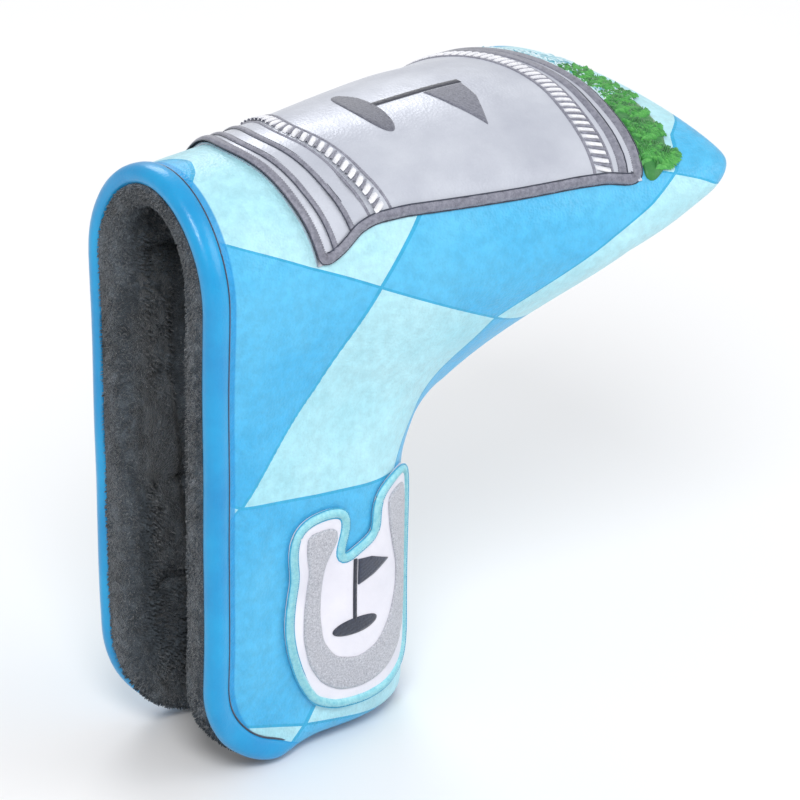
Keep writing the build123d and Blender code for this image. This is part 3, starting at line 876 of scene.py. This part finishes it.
# ---- the cup on the crown ----
FOOT_LINE = ((0.0, 20.2), (1.5, 20.3), (3.5, 20.9), (6.0, 21.8), (11.0, 23.3), (16.5, 24.7), (20.0, 25.6),
             (23.0, 26.4), (26.5, 28.4))
RIM_LINE = ((0.0, 120.4), (12.0, 119.6), (21.0, 117.7), (35.0, 115.2), (41.4, 112.8), (44.0, 110.5))
CUP_EDGE = ((28.0, 14.6), (31.0, 15.0), (34.5, 16.8), (39.5, 20.4), (44.0, 21.8), (52.0, 22.2), (80.0, 21.0),
            (104.0, 20.3), (108.5, 19.3), (113.0, 19.2))
DENTS = ((41.3, -21.3, 6.0, 3.0), (90.6, -28.7, 5.0, 4.0), (41.3, 21.3, 6.0, 3.0), (92.0, 26.0, 5.0, 4.0))


def line_x(line, y):
    """X of the foot or rim line at Y, the table's corners eased over a few millimetres."""
    places, levels = [p[0] for p in line], [p[1] for p in line]
    total = 0.0
    for shift in (-4.0, -2.0, 0.0, 2.0, 4.0):
        total = total + np.interp(np.abs(np.asarray(y) + shift), places, levels)
    return total / 5


def cup_point(share, offset, t, lift=0.0):
    """Point of the cup: share of the way from foot line to rim line, plus an offset in X; t runs from
    -1 at the near lower edge over the crest to 1 at the far one."""
    share, offset, t = np.broadcast_arrays(np.asarray(share, float), offset, np.asarray(t, float))
    y = 20.0 * t
    for _ in range(5):
        x = line_x(FOOT_LINE, y) * (1 - share) + line_x(RIM_LINE, y) * share + offset
        radius = crest_radius(x) + lift
        top = crest(x) + lift
        hem_x = np.clip(x, 28.0, 113.0)
        hem = np.interp(hem_x, [p[0] for p in CUP_EDGE], [p[1] for p in CUP_EDGE])
        limit = np.arccos(np.clip(1 - (top - hem) / radius, -0.05, 0.9999))
        angle = t * limit
        z = top - radius * (1 - np.cos(angle))
        y = (half_width(x, z) + lift) * plan_nose(x) * np.sin(angle)
    return np.stack([x, y, z], axis=-1)


def cup_path(share, offset, t, lift):
    low = cup_point(share, offset, t, lift)
    high = cup_point(share, offset, t, lift + 1.0)
    return low, unit(high - low)


def dents(points):
    x, y = points[..., 0], points[..., 1]
    deep = 0.0
    for cx, cy, rx, ry in DENTS:
        deep = deep + 0.45 * np.exp(-((x - cx) / rx) ** 2 - ((y - cy) / ry) ** 2)
    return deep


CUP_FOOT = 0.15
CUP_TOP = 1.15
CUP_ROWS, CUP_COLUMNS = 131, 121
p_steps = np.linspace(0.0, 1.0, CUP_ROWS)
t_steps = np.linspace(-1.0, 1.0, CUP_COLUMNS)
pp, tt = np.meshgrid(p_steps, t_steps, indexing="ij")
from_edge = np.minimum(np.minimum(pp * 95, (1 - pp) * 95), (1 - np.abs(tt)) * 42)
base_lift = CUP_FOOT + (CUP_TOP - CUP_FOOT) * (0.4 + 0.6 * rounding(from_edge, 1.5))
flat = cup_point(pp, 0.0, tt, CUP_TOP)
base_lift = base_lift - dents(flat)
cup_grid = cup_point(pp, 0.0, tt, base_lift)
last_row, last_column = CUP_ROWS - 1, CUP_COLUMNS - 1
ring = ([(i, 0) for i in range(CUP_ROWS)] + [(last_row, j) for j in range(1, CUP_COLUMNS)]
        + [(i, last_column) for i in range(last_row - 1, -1, -1)]
        + [(0, j) for j in range(last_column - 1, 0, -1)])
ring_p, ring_t = np.array([p_steps[i] for i, j in ring]), np.array([t_steps[j] for i, j in ring])
rim_low = cup_point(ring_p, 0.0, ring_t, CUP_FOOT - 0.1)
m = CUP_ROWS * CUP_COLUMNS
corners = [i * CUP_COLUMNS + j for i, j in ring]
after = [(k + 1) % len(ring) for k in range(len(ring))]
skirt = [[corners[k], corners[after[k]], m + after[k], m + k] for k in range(len(ring))]
cup_vertices = np.vstack([cup_grid.reshape(-1, 3), rim_low])
cup = mesh_object("cup_panel", cup_vertices, grid_faces(CUP_ROWS, CUP_COLUMNS) + skirt, SILVER)
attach(cup, "root")
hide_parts("cup_base")


def crown_piece(batch, name, material, slot, *nodes):
    obj = batch.build(name, material)
    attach(obj, "root")
    if nodes:
        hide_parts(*nodes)
    return obj


def even_loop(low, up, passes):
    """A closed path and its normals at even steps: an even number of them, so that the threads meet."""
    joined = rounded(resample(np.hstack([low, up]), 0.30, closed=True), passes, True)
    if len(joined) % 2:
        joined = joined[:-1]
    return joined[:, :3], unit(joined[:, 3:])


def edge_threads(batch, path, normal, offset, lift, radius, closed):
    """A thread along each side of a satin band."""
    across = unit(np.cross(along(path, closed), normal))
    for way in (-1, 1):
        tube(batch, (path + across * way * offset + normal * lift)[::3], radius, closed=closed, sides=5)


# satin border all round the cup, with a dark line of stitches along each side of it
up_edge, across_edge = np.linspace(-0.97, 0.97, 300), np.linspace(0.012, 0.988, 300)
loop = np.array([(0.0, t) for t in up_edge] + [(p, 0.97) for p in across_edge]
                + [(1.0, t) for t in np.linspace(0.97, -0.97, 300)]
                + [(p, -0.97) for p in np.linspace(0.988, 0.012, 300)])
share = 0.0125 + 0.975 * loop[:, 0]
border_low, border_up = cup_path(share, 0.0, loop[:, 1], CUP_TOP - 0.25)
border_path, border_normal = even_loop(border_low, border_up, 36)
border = Batch()
satin(border, border_path, border_normal, 2.7, 1.0, closed=True)
crown_piece(border, "cup_border_satin", GREY, "grey_thread", "cup_border")
outline = Batch()
edge_threads(outline, border_path, border_normal, 1.42, 0.12, 0.17, True)
crown_piece(outline, "cup_border_outline", DARK, "dark_thread")


def crossing(line_share, offset, reach=0.965, lift=CUP_TOP):
    t = np.linspace(-reach, reach, 700)
    low, up = cup_path(np.full(700, line_share), offset, t, lift)
    both = resample(np.hstack([low, up]), 0.30)
    return both[:, :3], unit(both[:, 3:])


def band(batch, share_of, offset, width, height, edges=None):
    path, normal = crossing(share_of, offset, lift=CUP_TOP - 0.15)
    satin(batch, path, normal, width, height)
    if edges is not None:
        edge_threads(edges, path, normal, width / 2 + 0.12, 0.16, 0.15, False)


foot_bands, rim_bands, band_edges = Batch(), Batch(), Batch()
# each band: offset in X from its line, width, height, and whether a dark thread edges it
for offset, width, height, edged in ((4.8, 1.7, 0.7, True), (10.1, 1.6, 0.7, True), (15.1, 0.8, 0.5, False),
                                     (20.6, 0.8, 0.5, False)):
    band(foot_bands, 0.0, offset, width, height, band_edges if edged else None)
crown_piece(foot_bands, "cup_foot_satin", GREY, "grey_thread", "cup_foot_bands")
for offset, width, height, edged in ((-5.2, 2.4, 0.9, True), (-8.0, 0.8, 0.6, False),
                                     (-12.9, 0.9, 0.6, False)):
    band(rim_bands, 1.0, offset, width, height, band_edges if edged else None)
crown_piece(rim_bands, "cup_rim_satin", GREY, "grey_thread", "cup_rim_bands")
crown_piece(band_edges, "cup_band_outlines", DARK, "dark_thread")


ROPE_REACH = 0.93


def rope(share_of, offset, width, count, lean):
    """A row of slanted oblong stitched blocks, with grey thread between them."""
    blocks, ties = Batch(), Batch()
    path, normal = crossing(share_of, offset, ROPE_REACH)
    lengths = np.concatenate([[0.0], np.cumsum(np.linalg.norm(np.diff(path, axis=0), axis=1))])
    tangent = along(path, False)
    across = unit(np.cross(tangent, normal))
    pitch = lengths[-1] / count
    for k in range(count):
        def at(s):
            return [np.array([np.interp(s, lengths, a[:, c]) for c in range(3)])
                    for a in (path, normal, tangent, across)]
        centre, n, t, a = at((k + 0.5) * pitch)
        u, v = np.meshgrid(np.linspace(-1, 1, 13), np.linspace(-1, 1, 9), indexing="ij")
        bulge = np.sqrt(np.maximum(1 - np.abs(u) ** 3, 0)) * np.sqrt(np.maximum(1 - np.abs(v) ** 3, 0))
        ridge = 1 - 0.10 * (np.arange(13) % 2)[:, None]
        half_l, half_w = width / 2, pitch * 0.30
        du = u * half_l
        dv = v * half_w * (1 - 0.25 * u ** 2) + u * half_l * lean
        pts = centre + du[..., None] * a + dv[..., None] * t + (0.05 + 0.75 * bulge * ridge)[..., None] * n
        blocks.add(pts, grid_faces(13, 9), 0.0)
        c2, n2, t2, a2 = at(min(k + 1.0, count - 0.05) * pitch)
        s = np.linspace(-1, 1, 14)
        tie = c2 + (s * half_l)[:, None] * a2 + (s * half_l * lean)[:, None] * t2 + 0.12 * n2
        satin(ties, tie, np.repeat(n2[None], 14, axis=0), pitch * 0.30, 0.45)
    return blocks, ties


for name, share_of, offset, width, count, lean, cad in (
        ("foot", 0.0, 18.0, 3.7, 26, 0.35, "cup_foot_rope"),
        ("rim", 1.0, -10.5, 3.9, 37, -0.35, "cup_rim_rope")):
    blocks, ties = rope(share_of, offset, width, count, lean)
    crown_piece(blocks, f"cup_{name}_rope_blocks", WHITE, "white_thread", cad)
    crown_piece(ties, f"cup_{name}_rope_ties", GREY, "grey_thread")


# ---- flags ----
def flag_outlines(size):
    """Pennant, pole and green of a small golf flag, each as a flat outline."""
    pennant = [(0.04, 1.0), (0.30, 0.965), (0.68, 0.79), (0.34, 0.66), (0.04, 0.58)]
    pole = [(-0.045, 0.0), (0.02, 0.0), (0.02, 1.02), (-0.045, 1.02)]
    t = np.linspace(0, 2 * math.pi, 40, endpoint=False)
    green = np.stack([0.42 * np.cos(t), -0.06 + 0.125 * np.sin(t)], axis=1)
    return [np.array(shape) * size for shape in (pennant, pole, green)]


def rows_of_thread(direction, pitch, depth):
    def relief(v, d):
        across = v[:, 0] * -math.sin(direction) + v[:, 1] * math.cos(direction)
        return depth * np.sin(across * 2 * math.pi / pitch) * np.clip(d / 0.4, 0, 1)
    return relief


def cup_flag_surface(x, y, lift):
    return top_point(62.0 + y, -2.0 - x, lift - 0.1 + 1.0)


THREAD_WAYS = (0.4, 1.2, 0.2)      # which way the thread runs in pennant, pole and green
marks = Batch()
flag_fineness = 0.42
for shape, way, tint in zip(flag_outlines(27.0), THREAD_WAYS, (0.15, 0.9, 0.35)):
    patch(marks, shape, cup_flag_surface, flag_fineness, 0.15, 0.62, rows_of_thread(way, 0.95, 0.09), tint)
GREY_FILL = thread("grey_fill", "5B5D6B", "8D8F9D", "2A2D38", 1500.0)
crown_piece(marks, "cup_flag_stitches", GREY_FILL, "grey_thread", "cup_flag")


# ---- ice and mint past the rim ----
def strand(batch, points, surface, width, height, value):
    """One flattened strand of embroidery laid on a surface, tapering to both ends."""
    points = np.asarray(points, float)
    n = len(points)
    tangent = unit(np.gradient(points, axis=0))
    side = np.stack([-tangent[:, 1], tangent[:, 0]], axis=1)
    taper = np.sin(np.linspace(0.12, math.pi - 0.12, n)) ** 0.6
    c = np.linspace(-1, 1, 5)
    at = points[:, None, :] + side[:, None, :] * (c[None, :] * width / 2 * taper[:, None])[..., None]
    arch = np.sqrt(np.maximum(1 - c ** 2, 0.0))
    lift = height[0] + (height[1] - height[0]) * arch[None, :] * taper[:, None]
    batch.add(surface(at[..., 0], at[..., 1], lift), grid_faces(n, 5, flip=True), value)


ice = Batch()
ice_rng = np.random.default_rng(21)
for k in range(700):
    y = ice_rng.uniform(-20.0, 30.0)
    depth = ice_rng.random()
    x0 = float(line_x(RIM_LINE, y)) + 0.6
    reach = 8.0 + 1.8 * math.sin(y / 5.0) - 0.06 * max(y, 0)
    x = x0 + depth * reach
    slant = 0.5 * math.sin(y / 7.0) + ice_rng.normal(0, 0.25) + 1.2
    length = ice_rng.uniform(2.5, 5.5)
    steps = np.linspace(-0.5, 0.5, 7)
    path = np.stack([x + steps * length * math.cos(slant) * 0.6, y + steps * length * math.sin(slant)
                     + 0.3 * np.sin(steps * 6 + k)], axis=1)
    path[:, 0] = np.clip(path[:, 0], x0, x0 + reach + 0.8)
    strand(ice, path, top_point, ice_rng.uniform(0.45, 0.8), (0.15, ice_rng.uniform(0.8, 1.35)),
           float(ice_rng.random() ** 2.2))
crown_piece(ice, "ice_stitches", ICE, "ice_thread", "ice_embroidery")

mint = Batch()
mint_rng = np.random.default_rng(5)
MINT_BED = np.array(((123.2, 1.0), (127.5, -3.0), (128.2, -9.0), (127.2, -15.0), (128.0, -21.0),
                     (127.0, -27.0), (126.0, -32.5), (123.0, -38.0), (120.0, -42.0), (115.2, -43.4), (113.0, -42.6),
                     (115.5, -37.0), (117.0, -30.0), (118.2, -22.0), (119.6, -14.0), (120.6, -6.0)))
bed = Batch()
bed_outline = rounded(resample(MINT_BED, 0.8, closed=True), 4, True)
patch(bed, bed_outline, top_point, 0.9, 0.1, 0.75, rows_of_thread(0.5, 0.9, 0.1), 0.8)
mint_leaves_at = []
for k in range(22):
    spot = k / 21.0
    y = -1.5 - 39.5 * spot
    for lane in range(2):
        x = float(line_x(RIM_LINE, y)) + 0.7 + lane * (2.3 + 0.5 * math.sin(k)) + mint_rng.normal(0, 0.25)
        turn = 0.15 - 0.55 * spot + mint_rng.normal(0, 0.5)
        mint_leaves_at.append((x, y + mint_rng.normal(0, 0.5), turn, 6.0 + 1.8 * mint_rng.random()))
for base_x, base_y, turn, length in mint_leaves_at:
    across, ahead = (-math.sin(turn), math.cos(turn)), (math.cos(turn), math.sin(turn))
    for row in range(13):
        f = (row + 0.5) / 13
        half = 0.34 * length * math.sin(math.pi * f) ** 0.75 * (1.05 - 0.35 * f)
        for s in (-1, 1):
            steps = np.linspace(0, 1, 5)
            px = base_x + ahead[0] * length * (f + 0.22 * steps) + across[0] * s * half * steps
            py = base_y + ahead[1] * length * (f + 0.22 * steps) + across[1] * s * half * steps
            py = np.clip(py, -43.3, 2.0)
            wobble = mint_rng.normal(0, 0.07, 2)
            strand(mint, np.stack([px + wobble[0], py + wobble[1]], axis=1), top_point, 0.38,
                   (0.5 + 0.2 * mint_rng.random(), 1.15 + 0.5 * mint_rng.random()),
                   float(0.4 * mint_rng.random() ** 2 + (0.55 if s > 0 else 0.0)))
crown_piece(bed, "mint_bed", GREEN, "green_thread")
crown_piece(mint, "mint_stitches", GREEN, "green_thread", "mint_leaves")


# ---- the horseshoe on the near flap ----
SHOE_OUTLINE = np.array((
    (21.9, -61.0), (22.2, -55.5), (24.6, -52.1), (28.0, -50.7), (32.0, -50.3), (36.6, -50.5), (39.4, -52.4),
    (39.6, -56.5), (38.2, -61.0), (37.4, -64.6), (40.6, -62.9), (44.0, -61.1), (47.0, -60.3), (46.4, -56.7),
    (46.9, -53.0), (48.2, -50.3), (51.2, -48.6), (56.0, -47.6), (60.8, -48.4), (63.6, -51.5), (64.6, -57.0),
    (64.8, -64.0), (65.2, -75.4), (65.2, -88.0), (64.2, -96.5), (60.6, -101.7), (53.0, -104.4),
    (44.2, -104.9), (35.9, -104.3), (28.9, -100.9), (24.3, -93.1), (21.7, -85.3), (20.7, -78.8),
    (21.4, -71.5), (22.8, -65.8)))
SHOE_FILL = np.array((
    (27.0, -55.4), (31.0, -55.2), (35.6, -55.4), (35.9, -59.3), (34.1, -61.6), (32.2, -65.0), (31.1, -71.1),
    (30.8, -77.7), (31.8, -84.8), (35.5, -90.1), (42.3, -92.2), (49.1, -90.4), (54.1, -85.0), (56.6, -78.9),
    (56.6, -72.9), (54.2, -66.0), (52.7, -60.7), (51.9, -55.7), (52.2, -52.6), (56.0, -51.9), (60.2, -52.6),
    (61.0, -56.0), (61.3, -64.0), (61.9, -73.0), (62.2, -80.8), (61.9, -88.0), (59.4, -94.3), (54.0, -98.2),
    (48.0, -99.9), (42.0, -100.3), (36.6, -99.4), (31.4, -95.9), (27.8, -90.3), (26.0, -82.9),
    (26.1, -76.3), (27.0, -69.9), (27.9, -64.9), (26.9, -61.2)))
outline_path = rounded(resample(SHOE_OUTLINE, 0.3, closed=True), 90, True)
inner_path = rounded(resample(SHOE_FILL, 0.3, closed=True), 50, True)


def shoe_piece(batch, name, material, slot, *nodes):
    obj = batch.build(name, material)
    bend(obj)
    if nodes:
        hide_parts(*nodes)
    return obj


def crossed_stitches(v, d):
    """The short crossing stitches of the horseshoe's fill."""
    x, z = v[:, 0], v[:, 1]
    return 0.16 * np.sin(x * 5.1 + 2.0 * np.sin(z * 1.1)) * np.sin(z * 5.7 + x) * np.clip(d, 0, 1)


fineness = 0.5
pad = Batch()
patch(pad, outline_path[::2], flank, 1.1, 0.1, 0.9)
shoe_piece(pad, "horseshoe_panel", PALE, "pale_leather", "horseshoe_base")
fill = Batch()
patch(fill, inner_path[::2], flank, fineness, 0.8, 1.45, crossed_stitches)
shoe_piece(fill, "horseshoe_fill_stitches", SHOE, "silver_thread", "horseshoe_fill")
centre = outline_path.mean(axis=0)
away = np.stack([along(outline_path, True)[:, 1], -along(outline_path, True)[:, 0]], axis=1)
if np.mean(np.sum(away * (outline_path - centre), axis=1)) < 0:
    away = -away
mid = outline_path - away * 1.1
shoe_low, shoe_high = flank(mid[:, 0], mid[:, 1], 0.7), flank(mid[:, 0], mid[:, 1], 1.7)
ring_path, ring_normal = even_loop(shoe_low, unit(shoe_high - shoe_low), 8)
shoe_border, shoe_edges = Batch(), Batch()
satin(shoe_border, ring_path, ring_normal, 2.3, 1.0, closed=True)
edge_threads(shoe_edges, ring_path, ring_normal, 1.25, 0.1, 0.2, True)
shoe_piece(shoe_border, "horseshoe_border_satin", SKY, "sky_thread", "horseshoe_border")
SKY_EDGE = thread("sky_edge_thread", "1F93BF", "39AED4")
shoe_piece(shoe_edges, "horseshoe_border_outline", SKY_EDGE, "sky_thread")
SHOE_FLAG_FOOT = np.array([[41.5, -82.5]])
shoe_marks = Batch()
flag_fineness = 0.42
for shape, way, tint in zip(flag_outlines(16.5), THREAD_WAYS, (0.1, 0.6, 0.3)):
    patch(shoe_marks, shape + SHOE_FLAG_FOOT, flank, flag_fineness, 0.8, 1.3,
          rows_of_thread(way, 0.9, 0.08), tint)
shoe_piece(shoe_marks, "horseshoe_flag_stitches", DARK, "dark_thread", "horseshoe_flag")

# ---- magnets and the spine strips inside the flaps ----
MAGNET_R, MAGNET_T, MAGNET_X = 6.0, 1.8, 13.0
MAGNET_HEIGHTS = (-62.0, -92.0)
MAGNET_BACK = 2.65         # depth of a magnet's middle behind the leather
DISC_PROFILE = ((0.01, -0.5), (0.9, -0.5), (1.0, -0.38), (1.0, 0.38), (0.9, 0.5), (0.01, 0.5))
for side in ("near", "far"):
    magnets = Batch()
    for z in MAGNET_HEIGHTS:
        depth = float(half_width(MAGNET_X, z)) - MAGNET_BACK
        turn = np.linspace(0, 2 * math.pi, 40, endpoint=False)
        rings = []
        for radius, y in DISC_PROFILE:
            rings.append(np.stack([MAGNET_X + MAGNET_R * radius * np.cos(turn),
                                   np.full(40, -depth + y * MAGNET_T),
                                   z + MAGNET_R * radius * np.sin(turn)], axis=1))
        magnets.add(np.array(rings), grid_faces(len(DISC_PROFILE), 40, closed_columns=True))
    discs = magnets.build(f"{side}_magnet_discs", MAGNET, mirrored=side == "far")
    bend(discs)
    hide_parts(f"{side}_magnets")


def spine_strip(name, inset, reach, material):
    """A strip behind the spine seam, from one half to the other. It stays with the crown while the
    flaps swing."""
    near_side = []
    for z in np.linspace(-104.0, CORNER_Z + CORNER_RADIUS * 0.85, 60):
        seam = float(spine(z))
        if z > CORNER_Z:
            seam = CORNER_X - math.sqrt(CORNER_RADIUS ** 2 - (z - CORNER_Z) ** 2)
        u = np.linspace(0.0, reach, 8) ** 2 / reach
        x = seam - inset - u
        w = width_at(x, np.full(8, z), u, inset)
        near_side.append(np.stack([x, -w, np.full(8, z)], axis=1))
    near_side = np.array(near_side)
    far_side = near_side[:, 1:] * np.array([1, -1, 1])
    strip = np.concatenate([near_side[:, ::-1], far_side], axis=1)
    obj = mesh_object(name, strip.reshape(-1, 3), grid_faces(strip.shape[0], strip.shape[1]), material)
    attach(obj, "root")


spine_strip("spine_strip", 1.6, 4.0, BINDING)
spine_strip("spine_plush_strip", 7.9, 5.0, PLUSH)

# the pad that stops the putter's toe, deep in the pocket: a plush-covered cushion
pad_low, pad_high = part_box("toe_pad")
pad_centre = [(a + b) / 2 / MM for a, b in zip(pad_low, pad_high)]
pad_half = [(b - a) / 2 / MM for a, b in zip(pad_low, pad_high)]
PAD_RINGS, PAD_SIDES = 25, 60
round_angle = np.linspace(0, 2 * math.pi, PAD_SIDES, endpoint=False)
length_angle = np.linspace(0.0, math.pi, PAD_RINGS)
pad_rings = []
for t in length_angle:
    fullness = max(math.sin(t), 0.0) ** 0.35
    pad_rings.append(np.stack([np.full(PAD_SIDES, pad_centre[0] - pad_half[0] * math.cos(t)),
                               pad_centre[1] + pad_half[1] * fullness * np.cos(round_angle),
                               pad_centre[2] + pad_half[2] * fullness * np.sin(round_angle)], axis=1))
pad_faces = grid_faces(PAD_RINGS, PAD_SIDES, closed_columns=True)
toe_cushion = mesh_object("toe_cushion", np.array(pad_rings).reshape(-1, 3), pad_faces, PLUSH)
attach(toe_cushion, "root")
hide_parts("toe_pad")

# ---- floor, light and camera ----
low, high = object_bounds()
floor_z = low[2]
floor_material, tree, shader = new_material("floor")
tone = ramp(tree, noise(tree, 3.0, 2.0), ((0.3, (0.86, 0.86, 0.865)), (0.7, (0.90, 0.90, 0.905))))
tree.links.new(tone, shader.inputs["Base Color"])
shader.inputs["Roughness"].default_value = 0.75
bpy.ops.mesh.primitive_plane_add(size=12.0, location=(0, 0, floor_z - 0.0004))
floor = bpy.context.object
floor.name = "floor"
floor.data.materials.append(floor_material)

world = bpy.data.worlds.new("studio")
bpy.context.scene.world = world
world.use_nodes = True
world.node_tree.nodes["Background"].inputs["Color"].default_value = (0.98, 0.985, 1.0, 1.0)
world.node_tree.nodes["Background"].inputs["Strength"].default_value = 0.68


def softbox(name, place, aim, size, power):
    light = bpy.data.lights.new(name, "AREA")
    light.shape = "DISK"
    light.size = size
    light.energy = power
    obj = bpy.data.objects.new(name, light)
    obj.location = place
    obj.rotation_euler = (Vector(aim) - Vector(place)).to_track_quat("-Z", "Y").to_euler()
    bpy.context.scene.collection.objects.link(obj)


AIM = (0.0712, -0.0024, -0.0405)
softbox("key", (-0.55, -0.75, 0.95), AIM, 0.5, 8.6)
softbox("fill", (1.0, -0.9, 0.5), AIM, 0.9, 4.5)
softbox("back", (0.6, 1.0, 0.9), AIM, 0.7, 5.0)

camera_data = bpy.data.cameras.new("camera")
camera_data.lens = 281.5
camera_data.sensor_width = 36.0
camera_data.clip_start = 0.01
camera_data.clip_end = 50.0
camera = bpy.data.objects.new("camera", camera_data)
azimuth, elevation, distance = math.radians(-38.5), math.radians(25.0), 1.5
back = Vector((math.sin(azimuth) * math.cos(elevation), -math.cos(azimuth) * math.cos(elevation),
               math.sin(elevation)))
camera.location = Vector(AIM) + distance * back
camera.rotation_euler = back.to_track_quat("Z", "Y").to_euler()
bpy.context.scene.collection.objects.link(camera)
bpy.context.scene.camera = camera
bpy.context.scene.view_settings.view_transform = "Standard"
